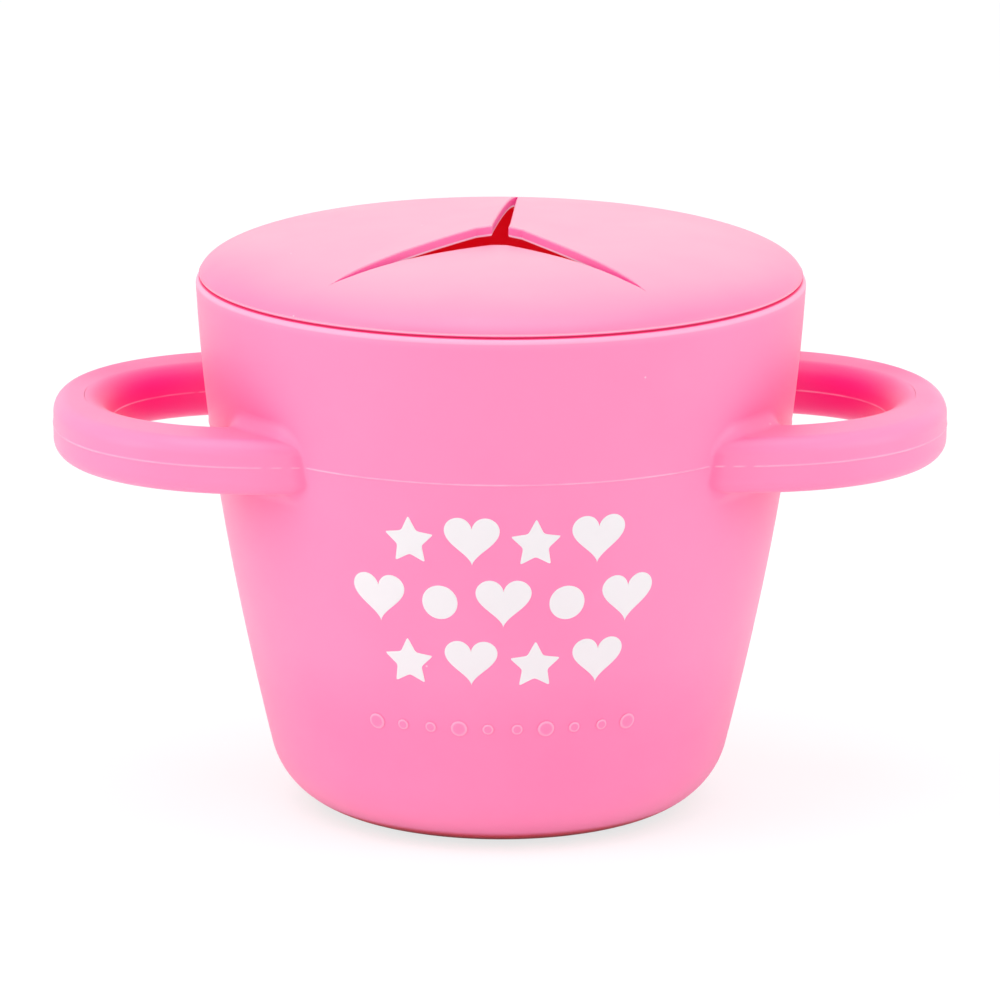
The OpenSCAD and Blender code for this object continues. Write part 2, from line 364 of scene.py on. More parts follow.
def loop_surface(section, v, off=0.0):
    """Points off the loop's surface by off, and the way they face. v is 0 at the grip's end and
    1 where the legs start to run straight. The inner side's quarter is the shorter, so its v runs
    ahead, which keeps the two sides level with each other along the legs."""
    ahead = 1 + (inner_cx - outer_cx) / (HANDLE_HALF_W * np.pi / 2)
    outer = side_line(outer_cx, np.array([HANDLE_DEPTH, HANDLE_HALF_W]), HANDLE_SQUARE, v)
    inner = side_line(inner_cx, np.array([FINGER_DEPTH, FINGER_HALF_W]), FINGER_SQUARE, v * ahead)
    width = np.linalg.norm(outer - inner, axis=-1)
    unit = (outer - inner) / width[..., None]
    cx, cz, nx, nz = section.T
    edge = INNER_EDGE_R + (OUTER_EDGE_R - INNER_EDGE_R) * (1 + cx) / 2
    across = cx * (width / 2 - edge) + (edge + off) * nx
    plan = (outer + inner) / 2 + unit * across[..., None]
    height = HANDLE_Z + cz * (HANDLE_H / 2 - edge) + (edge + off) * nz
    facing = np.concatenate([unit * nx[:, None],
                             np.broadcast_to(nz, width.shape)[..., None]], -1)
    return np.concatenate([plan, np.broadcast_to(height, width.shape)[..., None]], -1), facing


HALVINGS = 36


def slide(section, off, distance):
    """The v at which points off the loop are at a distance from the wall. The span of v that
    holds it is halved again and again."""
    low, high = np.full(len(section), 0.3), np.full(len(section), 1.6)
    for _ in range(HALVINGS):
        middle = (low + high) / 2
        far = wall_distance(loop_surface(section, middle, off)[0]) > distance
        low, high = np.where(far, middle, low), np.where(far, high, middle)
    return high


# %% The handle's fillets
HALF_STATIONS = 80
FILLET_STEPS = 10
SEAT = 0.004
BURIED = ((0.3, -0.02), (0.35, -0.6))


def half_loop(section):
    """Half a loop, row by row from the grip to the wall: the run along the path, a quarter turn
    of fillet that ends on the wall, and two rows that are buried just under it."""
    place, facing = loop_surface(section, slide(section, 0.0, 0.0))
    radial = place * [1, 1, 0] / np.hypot(place[:, 0], place[:, 1])[:, None]
    open_angle = 1 - (facing * radial).sum(1)
    size = ROOT_R * open_angle * np.sqrt(np.clip(open_angle, 0, 1))
    start = slide(section, 0.0, size)
    crowded = 1 - (1 - np.linspace(0, 1, HALF_STATIONS)) ** 1.3
    rows = [loop_surface(section, share * start)[0] for share in crowded]
    for a in np.radians(np.linspace(0, 90, FILLET_STEPS))[1:]:
        off = size * (1 - math.cos(a))
        away = size * (1 - math.sin(a)) + SEAT
        rows.append(loop_surface(section, slide(section, off, away), off)[0])
    for extra, away in BURIED:
        rows.append(loop_surface(section, slide(section, size + extra, away), size + extra)[0])
    return np.array(rows)


# %% The handle's mould line and colour
def handle_flash(section, points, clear):
    """The mould line on a handle: on its upright sides, and broken into dashes near the wall.
    clear is how far each point is from the wall."""
    upright = np.abs(section[:, 2]) ** 6
    dashes = np.clip(0.4 + 1.6 * np.sin(2.3 * points[..., 0] + 0.5), 0, 1)
    line = flash(points[..., 2], points[..., 1]) * upright * smoothstep(0.2, 0.8, clear)
    return line * (dashes + (1 - dashes) * smoothstep(5, 6, clear))


def handle_painted_shade(section, clear, behind):
    """How much painted shade deepens a handle's colour. behind is 0 in front and 1 at the back. It
    is deep on the inner side, more so away from the wall, and at the foot of the fillet; on top it
    is deeper behind, and paler in front near the wall, as painted light."""
    inward = np.clip(-section[:, 2], 0, 1) * (0.3 + 0.6 * smoothstep(2, 12, clear))
    upward = np.clip(section[:, 3], 0, 1)
    root = smoothstep(0, 0.5, clear) * (1 - smoothstep(0.5, 1.8, clear))
    in_front = (1 - behind) * (1 - smoothstep(3, 14, clear))
    return inward + 0.18 * root + upward * (0.5 * behind - 0.6 * in_front)


# %% Build the handles
def handle(name, node, side):
    """One loop handle: the half loop and its mirror image, closed by a fan in the wall at each
    end. side is 1 for the right handle and -1 for the left, which is the same turned half round."""
    section = section_frame()
    half = half_loop(section)
    points = np.concatenate([half[:0:-1] * [1, -1, 1], half])
    clear = wall_distance(points)
    line = handle_flash(section, points, clear)
    across = points[:, section[:, 2].argmax()] - points[:, section[:, 2].argmin()]
    across[:, 2] = 0
    across /= np.linalg.norm(across, axis=1)[:, None]
    points = points + (line * np.sign(section[:, 2]) * FLASH_H)[..., None] * across[:, None]
    # Painted shade on the handle, and paler painted light on its top in front.
    painted_shade = handle_painted_shade(section, clear, smoothstep(2, 18, side * points[..., 1]))
    ends = np.array([points[0].mean(0), points[-1].mean(0)])
    in_wall = float(wall_radius(HANDLE_Z)) - WALL_T / 2
    ends[:, :2] *= (in_wall / np.hypot(*ends[:, :2].T))[:, None]
    flat = np.vstack([points.reshape(-1, 3), ends]) * [side, side, 1]
    cols = len(section)
    first, last = np.arange(cols), (len(points) - 1) * cols + np.arange(cols)
    piece = make_piece(name, flat, grid_quads(len(points), cols, wrap_cols=True),
                       fan(first[::-1], len(flat) - 2), fan(last, len(flat) - 1),
                       body="cup", slot="cup")
    # Painted highlight along the mould line, then the painted shade.
    tag(piece, "flash", np.append(line.ravel(), [0, 0]))
    tag(piece, "painted_shade", np.append(painted_shade.ravel(), [0, 0]))
    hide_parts(node)
    return piece


right_loop = handle("right_loop", "right_handle", 1)
left_loop = handle("left_loop", "left_handle", -1)

# %% [markdown]
# ## The lid's ring
# The lid is a puffy dome: nearly flat on top, then quickly round at its shoulder, which is a
# superellipse turned about the axis. Its edge stops flush with the tub, and the small rounding
# on both sides of the joint draws the thin dark line between them, which painted shade and a
# painted glow deepen. Under it a plug with a sealing bead sits in the mouth. The ring is kept
# whole; the crown inside it is made as three sheets, one for each flap.

# %% Lid sizes and ring
LID_RISE = 6.75
LID_R = 44.5
DOME_POWER_R = 2.8
DOME_POWER_Z = 2.2
CROWN_T = 1.65
CROWN_R = 38.0
LID_EDGE_R = 0.5
SEAM_GAP = 0.1
PLUG_R = 41.6
PLUG_IN_R = 39.3
PLUG_DEPTH = 7.5
PLUG_IN_EDGE_R = 0.4
PLUG_EDGE_R = 0.8
BEAD_R = 0.9
BEAD_GAP = 0.1


def dome_height(r):
    """Top of the lid at radius r: (r / LID_R)^p + (h / LID_RISE)^q = 1 above the rim."""
    share = np.clip(1 - (np.clip(r, 0, LID_R) / LID_R) ** DOME_POWER_R, 0, 1)
    return rim_z + LID_RISE * share ** (1 / DOME_POWER_Z)


def dome_painted_shade(r):
    """How much painted shade deepens the lid's colour at radius r: most at the foot of the
    shoulder.
    """
    return 0.34 * (1 - smoothstep(0.8, 6.4, dome_height(r) - rim_z))


start_angle = math.asin((CROWN_R / LID_R) ** (DOME_POWER_R / 2))
bend = np.linspace(start_angle, math.pi / 2, 60)
shoulder = np.column_stack([LID_R * np.sin(bend) ** (2 / DOME_POWER_R),
                            rim_z + LID_RISE * np.cos(bend) ** (2 / DOME_POWER_Z)])
shoulder = shoulder[shoulder[:, 1] > rim_z + LID_EDGE_R]
bead_centre = (MOUTH_R - BEAD_GAP - BEAD_R, rim_z - PLUG_DEPTH / 2)
bead_turn = math.degrees(math.acos((PLUG_R - bead_centre[0]) / BEAD_R))
under = np.linspace(PLUG_IN_R, CROWN_R, 6)
plug_z = rim_z - PLUG_DEPTH
ring_section = np.vstack([
    shoulder[::-1],
    np.column_stack([under, dome_height(under) - CROWN_T])[::-1],
    [[PLUG_IN_R, rim_z - 1]],
    arc((PLUG_IN_R + PLUG_IN_EDGE_R, plug_z + PLUG_IN_EDGE_R), PLUG_IN_EDGE_R, 180, 270, 5),
    arc((PLUG_R - PLUG_EDGE_R, plug_z + PLUG_EDGE_R), PLUG_EDGE_R, -90, 0, 7),
    arc(bead_centre, BEAD_R, -bead_turn, bead_turn, 11),
    [[PLUG_R, rim_z + SEAM_GAP]],
    arc((LID_R - LID_EDGE_R, rim_z + SEAM_GAP + LID_EDGE_R), LID_EDGE_R, -90, 0, 7),
])
ring = turned("lid_ring", ring_section, "lid", "lid", poles=False)
spot, spot_r = spots(ring)
within = (spot_r < PLUG_IN_R + 0.1) & (spot[:, 2] < dome_height(spot_r) - CROWN_T / 2)
groove = (spot[:, 2] < rim_z + SEAM_GAP + 0.06) & (spot_r > PLUG_R + 0.5)
# Painted glow: soaked red under the crown, and magenta in the groove over the rim.
tag(ring, "glow", within[:, None] * SOAKED_GLOW_RED + groove[:, None] * SEAM_GLOW_RED)
above_rim = spot[:, 2] - rim_z - SEAM_GAP
low_edge = (spot_r > PLUG_R + 0.5) & (above_rim < 0.6)
# Painted shade: a dark line along the lid's lower edge, and the shoulder's painted shade higher up.
tag(ring, "painted_shade", np.where(low_edge, 1 - smoothstep(0.12, 0.26, above_rim), dome_painted_shade(spot_r)))
# Painted highlight: a thin pale line just above it.
tag(ring, "flash", low_edge * np.exp(-((above_rim - 0.38) / 0.12) ** 2))
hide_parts("lid_rim")

# %% [markdown]
# ## The three flaps
# The slit is a Y with its stem to the back. Each flap is a sheet that starts at the slit, with
# a rounded lip, and runs out to the ring. Columns of points follow the slit's edge from one arm's
# end round the hub to the other's, and each column walks out along the underside, round the
# lip and back over the top. On the real lid nothing is cut at a flap's root: the rubber bends. So
# the sheets ride on no body; each one's tip is raised or lowered by an amount that grows from the
# line between the slit's two ends.

# %% Slit sizes and flap sheets
SLIT_L = 36.7
SLIT_HALF_W = 1.2
SLIT_TURN = -5.75
FRONT_HALF_ANGLE = 37.0
FRONT_TAPER = 2.6
REAR_TAPER = 1.2
LIP_R = 0.32
SHEET_COLUMNS = 260
rear_arm = 90 + SLIT_TURN
left_arm = 270 + SLIT_TURN - FRONT_HALF_ANGLE
right_arm = 270 + SLIT_TURN + FRONT_HALF_ANGLE
print("the slit's arms point to", rear_arm, left_arm, right_arm, "degrees")


def slit_half_width(u, taper):
    """Half the slit's width at u along an arm: widest at the hub, closing at the end. A larger
    taper keeps it wide for longer."""
    share = np.clip(u / SLIT_L, 0, 1)
    closing = np.sqrt(np.clip((SLIT_L - u) / 1.5, 0, 1))
    return (0.14 + (SLIT_HALF_W - 0.14) * (1 - share**taper)) * closing


def slit_edge(half_angle, cuts, tapers, rounding):
    """The flap's free edge in its own frame (x out along its middle): down one arm, across the
    tip, and up the other. cuts says how far along each arm the tip is cut off. The corners are
    softened by a moving average along the edge."""
    c, s = math.cos(half_angle), math.sin(half_angle)
    arms = []
    for cut, taper in zip(cuts, tapers):
        u = SLIT_L - (SLIT_L - cut) * np.linspace(0, 1, 600)
        w = slit_half_width(u, taper)
        arms.append(np.column_stack([u * c + w * s, -u * s + w * c]))
    path = np.vstack([arms[0], arms[1][::-1] * [1, -1]])
    length = np.concatenate([[0], np.cumsum(np.linalg.norm(np.diff(path, axis=0), axis=1))])
    even = np.linspace(0, length[-1], 4001)
    path = np.column_stack([np.interp(even, length, path[:, k]) for k in (0, 1)])
    reach = max(int(rounding / (even[1] - even[0])), 1)
    weight = np.hanning(2 * reach + 3)[1:-1]
    padded = np.pad(path, ((reach, reach), (0, 0)), mode="reflect", reflect_type="odd")
    soft = np.column_stack([np.convolve(padded[:, k], weight / weight.sum(), "valid")
                            for k in (0, 1)])
    t = np.linspace(-1, 1, SHEET_COLUMNS)
    pick = 0.5 + 0.5 * np.sign(t) * (0.6 * np.abs(t) + 0.4 * np.abs(t) ** 2)
    index = pick * (len(soft) - 1)
    return np.column_stack([np.interp(index, np.arange(len(soft)), soft[:, k]) for k in (0, 1)])


# %% The flap's grid and tags
OUT_STEPS = np.linspace(0, 1, 46) ** 1.5
UNDER_STEPS = OUT_STEPS[::-3]
LIP_STEPS = 6
CUT_WALL = 0.14


def sheet_grid(edge, inward, rim, lip):
    """Where each row of the sheet lies in plan, and how far it is below the dome: in along the
    underside, round the lip in two quarter turns with a short wall between, and out on top."""
    start = edge + inward * lip
    turn = np.radians(np.linspace(0, 90, LIP_STEPS))
    thickness = np.full(SHEET_COLUMNS, CROWN_T)
    rows = [(start + (rim - start) * share, thickness) for share in UNDER_STEPS]
    rows += [(edge + inward * lip * (1 - math.sin(a)), CROWN_T - lip[:, 0] * (1 - math.cos(a)))
             for a in turn[1:]]
    rows.append((edge, CROWN_T - lip[:, 0] - CUT_WALL))
    rows += [(edge + inward * lip * (1 - math.sin(a)), lip[:, 0] * (1 - math.cos(a)))
             for a in turn[::-1]]
    rows += [(start + (rim - start) * share, 0 * thickness) for share in OUT_STEPS[1:]]
    plan, drop = zip(*rows)
    return np.array(plan), np.array(drop)


def tag_sheet(sheet, rows, flat):
    """Painted glow: soaked red underneath, pale pink at the lip's lower edge, and magenta on the
    cut.
    Painted shade: that of the lid's shoulder, and more on the cut, the more so towards the back."""
    lip_row = len(UNDER_STEPS) + 2
    cut_row = lip_row + 3
    glow = np.zeros((rows, 3))
    glow[:lip_row] = SOAKED_GLOW_RED
    glow[lip_row:cut_row] = LIP_GLOW_PINK
    glow[cut_row:cut_row + 2] = CUT_GLOW_PINK
    tag(sheet, "glow", np.vstack([np.repeat(glow, SHEET_COLUMNS, axis=0), np.zeros((2, 3))]))
    depth = dome_painted_shade(np.hypot(flat[:, 0], flat[:, 1]))
    cut = slice(cut_row * SHEET_COLUMNS, (cut_row + 2) * SHEET_COLUMNS)
    # Painted shade on the cut, deeper towards the back.
    depth[cut] += 0.1 + 0.4 * smoothstep(0, 3, flat[cut, 1])
    tag(sheet, "painted_shade", depth)


# %% Build the flaps
def flap_sheet(name, body, a0, a1, cuts, tapers, rounding, rise, bow):
    """A flap between arms a0 and a1 (degrees), out to the ring. Its tip rises by rise, growing
    from the hinge line as a power, bow, of the way in."""
    half_angle = math.radians((a1 - a0) / 2)
    middle = math.radians((a0 + a1) / 2)
    edge = slit_edge(half_angle, cuts, tapers, rounding)
    tangent = np.gradient(edge, axis=0)
    tangent /= np.linalg.norm(tangent, axis=1, keepdims=True)
    inward = np.column_stack([-tangent[:, 1], tangent[:, 0]])
    inward *= np.sign((inward * [1, 0]).sum(1).sum())
    rim_angle = half_angle * np.linspace(-1, 1, SHEET_COLUMNS)
    rim = CROWN_R * np.column_stack([np.cos(rim_angle), np.sin(rim_angle)])
    lip = LIP_R * (0.25 + 0.75 * smoothstep(0, 4, np.linalg.norm(edge - edge[0], axis=1))
                   * smoothstep(0, 4, np.linalg.norm(edge - edge[-1], axis=1)))[:, None]
    plan, drop = sheet_grid(edge, inward, rim, lip)
    x, y = plan[..., 0], plan[..., 1]
    chord = SLIT_L * math.cos(half_angle)
    hang = np.clip((chord - x) / chord, 0, 1)
    z = dome_height(np.hypot(x, y)) - drop
    z = z + rise * hang**bow
    c, s = math.cos(middle), math.sin(middle)
    points = np.stack([x * c - y * s, x * s + y * c, z], -1)
    flat = np.vstack([points.reshape(-1, 3), points[:, 0].mean(0), points[:, -1].mean(0)])
    column = np.arange(len(plan)) * SHEET_COLUMNS
    sheet = make_piece(name, flat, grid_quads(len(plan), SHEET_COLUMNS, wrap_rows=True),
                       fan(column, len(flat) - 2),
                       fan((column + SHEET_COLUMNS - 1)[::-1], len(flat) - 1),
                       body=None, slot="lid")
    tag_sheet(sheet, len(plan), flat)
    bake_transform(sheet)
    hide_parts(body)
    return sheet


front_sheet = flap_sheet(
    "front_sheet", "front_flap", left_arm, right_arm,
    cuts=(3.6, 3.6), tapers=(FRONT_TAPER, FRONT_TAPER), rounding=1.4, rise=-1.8, bow=1.5)
rear_left_sheet = flap_sheet(
    "rear_left_sheet", "rear_left_flap", rear_arm, left_arm,
    cuts=(-2.3, 4.2), tapers=(REAR_TAPER, FRONT_TAPER), rounding=0.05, rise=1.2, bow=1.4)
rear_right_sheet = flap_sheet(
    "rear_right_sheet", "rear_right_flap", right_arm, rear_arm + 360,
    cuts=(3.7, -2.0), tapers=(FRONT_TAPER, REAR_TAPER), rounding=0.05, rise=1.1, bow=2.5)

# %% [markdown]
# ## Marks on the front
# The front carries white printed marks, and a row of small raised ones near the base in the
# rubber's own pink. Plain hearts, stars and dots stand in for the print, and a row of dots for
# the raised ones. They could be painted in the material, but a raised mark has to be a shape, and
# a print made the same way keeps its clean edge from any distance. Each mark is a closed pad that
# follows the wall: its outline is shrunk towards its middle in rings, the inner rings stand
# proud, and the outer ones roll down just under the wall.

# %% Mark outlines
OUTLINE_POINTS = 96
FRONT = math.radians(-91.2)


def even_outline(path, size):
    """A closed outline with evenly spaced points, centred and scaled to a width in mm."""
    path = np.vstack([path, path[:1]])
    length = np.concatenate([[0], np.cumsum(np.linalg.norm(np.diff(path, axis=0), axis=1))])
    even = np.linspace(0, length[-1], OUTLINE_POINTS, endpoint=False)
    path = np.column_stack([np.interp(even, length, path[:, k]) for k in (0, 1)])
    low, high = path.min(0), path.max(0)
    return (path - (low + high) / 2) * size / (high - low).max()


def heart(size):
    """A heart: x = 16 sin^3, y = 13 cos - 5 cos 2 - 2 cos 3 - cos 4, once round."""
    t = np.linspace(0, 2 * np.pi, 400, endpoint=False)
    y = 13 * np.cos(t) - 5 * np.cos(2 * t) - 2 * np.cos(3 * t) - np.cos(4 * t)
    return even_outline(np.column_stack([-16 * np.sin(t) ** 3, y]), size)


def star(size, points=5, waist=0.5, soft=14):
    """A star with its corners softened by a moving average along the outline."""
    number = np.arange(2 * points)
    a = np.pi / 2 + number * np.pi / points
    reach = np.where(number % 2, waist, 1)[:, None]
    corner = reach * np.column_stack([np.cos(a), np.sin(a)])
    ends = np.roll(corner, -1, axis=0)
    share = np.linspace(0, 1, 60, endpoint=False)[None, :, None]
    path = (corner[:, None] * (1 - share) + ends[:, None] * share).reshape(-1, 2)
    weight = np.hanning(2 * soft + 3)[1:-1] / np.hanning(2 * soft + 3).sum()
    padded = np.vstack([path[-soft:], path, path[:soft]])
    path = np.column_stack([np.convolve(padded[:, k], weight, "valid") for k in (0, 1)])
    return even_outline(path, size)


def dot(size):
    """A round dot."""
    t = np.linspace(0, 2 * np.pi, 200, endpoint=False)
    return even_outline(np.column_stack([np.cos(t), np.sin(t)]), size)


# %% Pads on the wall
def pads(name, marks, proud, edge, slot):
    """One mesh of closed pads. Each mark is an outline, how far along the wall, and a height."""
    inset = np.array([0.3, 0.6, 1, 1, 1, 1, 1])
    back = np.array([0, 0, 1, 0.6, 0.2, 0, 0]) * edge
    height = np.array([1, 1, 1, 0.9, 0.5, -0.3, -0.8]) * proud
    points, faces = [], []
    for outline, along, z in marks:
        span = np.linalg.norm(outline, axis=1).max()
        ring = outline[None] * (inset - back / span)[:, None, None]
        flat = np.vstack([ring.reshape(-1, 2), [[0, 0], [0, 0]]])
        stand = np.append(np.repeat(height, OUTLINE_POINTS), [proud, -proud])
        level = z + flat[:, 1]
        radius = wall_radius(level) + stand
        turn = FRONT + (along + flat[:, 0]) / float(wall_radius(z))
        base = sum(len(p) for p in points)
        count = len(flat) - 2
        points.append(np.column_stack([radius * np.cos(turn), radius * np.sin(turn), level]))
        first = np.arange(OUTLINE_POINTS)
        quads = grid_quads(len(inset), OUTLINE_POINTS, wrap_cols=True)
        faces += [quads[:, ::-1] + base, fan(first, count) + base,
                  fan(first[::-1] + count - OUTLINE_POINTS, count + 1) + base]
    return make_piece(name, np.vstack(points), *faces, body="cup", slot=slot)


PRINT_PITCH = 9.2
rows = [(49.4, [star(7.0), heart(8.0), star(7.0), heart(8.0)]),
        (39.9, [heart(8.0), dot(5.2), heart(8.0), dot(5.2), heart(8.0)]),
        (30.6, [star(7.0), heart(7.6), star(7.0), heart(7.6)])]
printed = pads("printed_marks", [(mark, (i - (len(row) - 1) / 2) * PRINT_PITCH, z)
                                 for z, row in rows for i, mark in enumerate(row)],
               0.05, 0.12, "print")
PIP_PITCH = 4.2
pips = [dot(2.5) if i % 3 == 0 else dot(1.7) for i in range(10)]
raised = pads("raised_marks", [(pip, (i - 4.5) * PIP_PITCH, 20.2) for i, pip in enumerate(pips)],
              0.22, 0.3, "cup")
# Painted highlight: pale rings on the raised dots' slopes.
slope_highlight = np.append(np.repeat([0, 0, 0.5, 0.7, 0.4, 0, 0], OUTLINE_POINTS), [0, 0])
tag(raised, "flash", np.tile(slope_highlight, len(pips)))

# %% [markdown]
# ## Materials
# Moulded silicone is satin: a soft broad highlight, a very fine grain, and light that sinks a
# little way in, so that hollows show a deeper, redder pink, which here is painted shade. It also
# holds dust. A painted image could carry all this, but it would blur close up, so the pattern is
# worked out from the place of each point. One node group gives the grain, the slight unevenness of
# colour and the dust, and also the painted shade, painted highlights and painted glow; each
# material places it with its own colours. The painted shade in hollows comes from an occlusion
# node, which looks how closed in a place is. The table would close in the whole lower wall, so
# near it the effect is left out, all but a thin painted shadow where the base turns under and
# hardly any light comes in.

# %% The shared silicone surface
# Lengths are in metres, a rate is per metre, and a scale is how many noise cells a metre holds.
# How far the occlusion looks for the painted shade in hollows, and how it is left out near the
# table.
HOLLOW_REACH = 0.028
ABOVE_TABLE = 0.006
LIFT_RATE = 26.0
# Where the painted shadow starts as the base turns under, how fast it grows, and its dark red.
TOE_TOP = 0.0026
TOE_RATE = 1300.0
TOE_SHADOW_RED = (0.72, 0.0, 0.03)
# The painted highlight's pale pink, and how much of it is mixed in at most.
HIGHLIGHT_PINK = (1.0, 0.64, 0.8)
HIGHLIGHT_SHARE = 0.55
CLOUD_SCALE = 38
PATCH_SCALE = 75
COARSE_SCALE = 420
FINE_SCALE = 2600
GRAIN_DEPTH = 0.00006
DUST_PINK = (0.95, 0.75, 0.82)
DUST_SCALE = 260
DUST_RARITY = 0.93
DUST_SIZE = 0.045


def add_socket(group, name, kind, direction, default=None):
    """A named socket on a node group's outside."""
    socket = group.interface.new_socket(name=name, in_out=direction, socket_type=kind)
    if default is not None:
        socket.default_value = default
    return socket


def silicone_group():
    """Colour, Glow, Roughness and Normal of moulded silicone, from two colours and four
    amounts. The colour leans to the deep one by hollow * depth + cloud + the tag of painted shade:
    the hollow's share is painted shade, the cloud is random tone. On top it gets a painted shadow
    where the base turns under and a painted highlight where flash is tagged, and Glow is painted
    light."""
    group = bpy.data.node_groups.new("silicone_surface", "ShaderNodeTree")
    for name, kind, default in [("Colour", "NodeSocketColor", (1, 0.3, 0.5, 1)),
                                ("Deep Colour", "NodeSocketColor", (1, 0.2, 0.4, 1)),
                                ("Roughness", "NodeSocketFloat", 0.45),
                                ("Grain", "NodeSocketFloat", 0.3),
                                ("Dust", "NodeSocketFloat", 0.5),
                                ("Depth", "NodeSocketFloat", 1.0)]:
        add_socket(group, name, kind, "INPUT", default)
    for name, kind in [("Colour", "NodeSocketColor"), ("Glow", "NodeSocketColor"),
                       ("Roughness", "NodeSocketFloat"), ("Normal", "NodeSocketVector")]:
        add_socket(group, name, kind, "OUTPUT")
    nodes, links = group.nodes, group.links
    inside, outside = nodes.new("NodeGroupInput"), nodes.new("NodeGroupOutput")
    place = nodes.new("ShaderNodeTexCoord").outputs["Object"]

    def noise(scale, detail):
        node = nodes.new("ShaderNodeTexNoise")
        node.inputs["Scale"].default_value = scale
        node.inputs["Detail"].default_value = detail
        links.new(place, node.inputs["Vector"])
        return node.outputs["Fac"]

    def math_node(operation, a, b=None, clamp=False):
        node = nodes.new("ShaderNodeMath")
        node.operation = operation
        node.use_clamp = clamp
        for socket, value in zip(node.inputs, (a, b)):
            if value is None:
                continue
            if isinstance(value, (int, float)):
                socket.default_value = value
            else:
                links.new(value, socket)
        return node.outputs[0]

    def mixed(factor, low, high):
        node = nodes.new("ShaderNodeMix")
        node.data_type = "RGBA"
        links.new(factor, node.inputs["Factor"])
        for socket, value in ((node.inputs["A"], low), (node.inputs["B"], high)):
            if isinstance(value, tuple):
                socket.default_value = (*value, 1)
            else:
                links.new(value, socket)
        return node.outputs["Result"]

    def tagged(name, output):
        node = nodes.new("ShaderNodeAttribute")
        node.attribute_name = name
        return node.outputs[output]

    # Painted shade: where the occlusion node finds a place closed in, the colour leans to the deep
    # one.
    closed = nodes.new("ShaderNodeAmbientOcclusion")
    closed.samples = 1
    closed.inputs["Distance"].default_value = HOLLOW_REACH
    shade = math_node("SUBTRACT", 1.0, closed.outputs["AO"], True)
    above = nodes.new("ShaderNodeSeparateXYZ")
    links.new(place, above.inputs["Vector"])
    height = above.outputs["Z"]
    lifted = math_node("MULTIPLY", math_node("SUBTRACT", height, ABOVE_TABLE), LIFT_RATE, True)
    # Painted shadow: a thin dark red line where the base turns under, close to the table.
    low_down = math_node("MULTIPLY", math_node("SUBTRACT", TOE_TOP, height), TOE_RATE, True)
    toe_shadow = math_node("MULTIPLY", shade, low_down)
    shade = math_node("MULTIPLY", shade, lifted)
    cloud = math_node("SUBTRACT", noise(CLOUD_SCALE, 3), 0.42, True)
    cloud = math_node("MULTIPLY", cloud, 0.25, True)
    deep = math_node("ADD", math_node("MULTIPLY", shade, inside.outputs["Depth"]), cloud)
    deep = math_node("ADD", deep, tagged("painted_shade", "Fac"), True)
    colour = mixed(deep, inside.outputs["Colour"], inside.outputs["Deep Colour"])
    colour = mixed(toe_shadow, colour, TOE_SHADOW_RED)
    # Painted highlight: paler pink where the flash tag is set.
    sharp = math_node("MULTIPLY", tagged("flash", "Fac"), HIGHLIGHT_SHARE, True)
    colour = mixed(sharp, colour, HIGHLIGHT_PINK)

    specks = nodes.new("ShaderNodeTexVoronoi")
    specks.inputs["Scale"].default_value = DUST_SCALE
    links.new(place, specks.inputs["Vector"])
    chance = nodes.new("ShaderNodeSeparateColor")
    links.new(specks.outputs["Color"], chance.inputs["Color"])
    rare = math_node("GREATER_THAN", chance.outputs["Red"], DUST_RARITY)
    near = math_node("LESS_THAN", specks.outputs["Distance"], DUST_SIZE)
    dust = math_node("MULTIPLY", math_node("MULTIPLY", rare, near), inside.outputs["Dust"])
    links.new(mixed(dust, colour, DUST_PINK), outside.inputs["Colour"])
    # The glow tag is painted light.
    links.new(tagged("glow", "Color"), outside.inputs["Glow"])

    patchy = math_node("MULTIPLY", math_node("SUBTRACT", noise(PATCH_SCALE, 4), 0.5), 0.16)
    links.new(math_node("ADD", inside.outputs["Roughness"], patchy), outside.inputs["Roughness"])

    bump = nodes.new("ShaderNodeBump")
    bump.inputs["Distance"].default_value = GRAIN_DEPTH
    links.new(inside.outputs["Grain"], bump.inputs["Strength"])
    coarse = math_node("MULTIPLY", noise(COARSE_SCALE, 2), 0.6)
    fine = math_node("MULTIPLY", noise(FINE_SCALE, 2), 0.5)
    links.new(math_node("ADD", math_node("ADD", coarse, fine), dust), bump.inputs["Height"])
    links.new(bump.outputs["Normal"], outside.inputs["Normal"])
    return group


surface = silicone_group()
print("silicone group sockets:", [item.name for item in surface.interface.items_tree])


# %% The two pinks and the print's white
def silicone(name, colour, deep, depth, roughness, grain, dust):
    """A satin silicone: the shared surface feeds colour, roughness and normal, and its painted glow
    feeds the emission.
    """
    material = bpy.data.materials.new(name)
    material.use_nodes = True
    nodes, links = material.node_tree.nodes, material.node_tree.links
    shader = nodes["Principled BSDF"]
    group = nodes.new("ShaderNodeGroup")
    group.node_tree = surface
    group.inputs["Colour"].default_value = (*colour, 1)
    group.inputs["Deep Colour"].default_value = (*deep, 1)
    group.inputs["Roughness"].default_value = roughness
    group.inputs["Grain"].default_value = grain
    group.inputs["Dust"].default_value = dust
    group.inputs["Depth"].default_value = depth
    links.new(group.outputs["Colour"], shader.inputs["Base Color"])
    # The painted glow is emission, though no lamp is there.
    links.new(group.outputs["Glow"], shader.inputs["Emission Color"])
    links.new(group.outputs["Roughness"], shader.inputs["Roughness"])
    links.new(group.outputs["Normal"], shader.inputs["Normal"])
    shader.inputs["Emission Strength"].default_value = 1.0
    shader.inputs["Specular IOR Level"].default_value = 0.5
    shader.inputs["Sheen Weight"].default_value = 0.2
    shader.inputs["Sheen Roughness"].default_value = 0.5
    shader.inputs["Sheen Tint"].default_value = (1, 0.94, 0.88, 1)
    return material


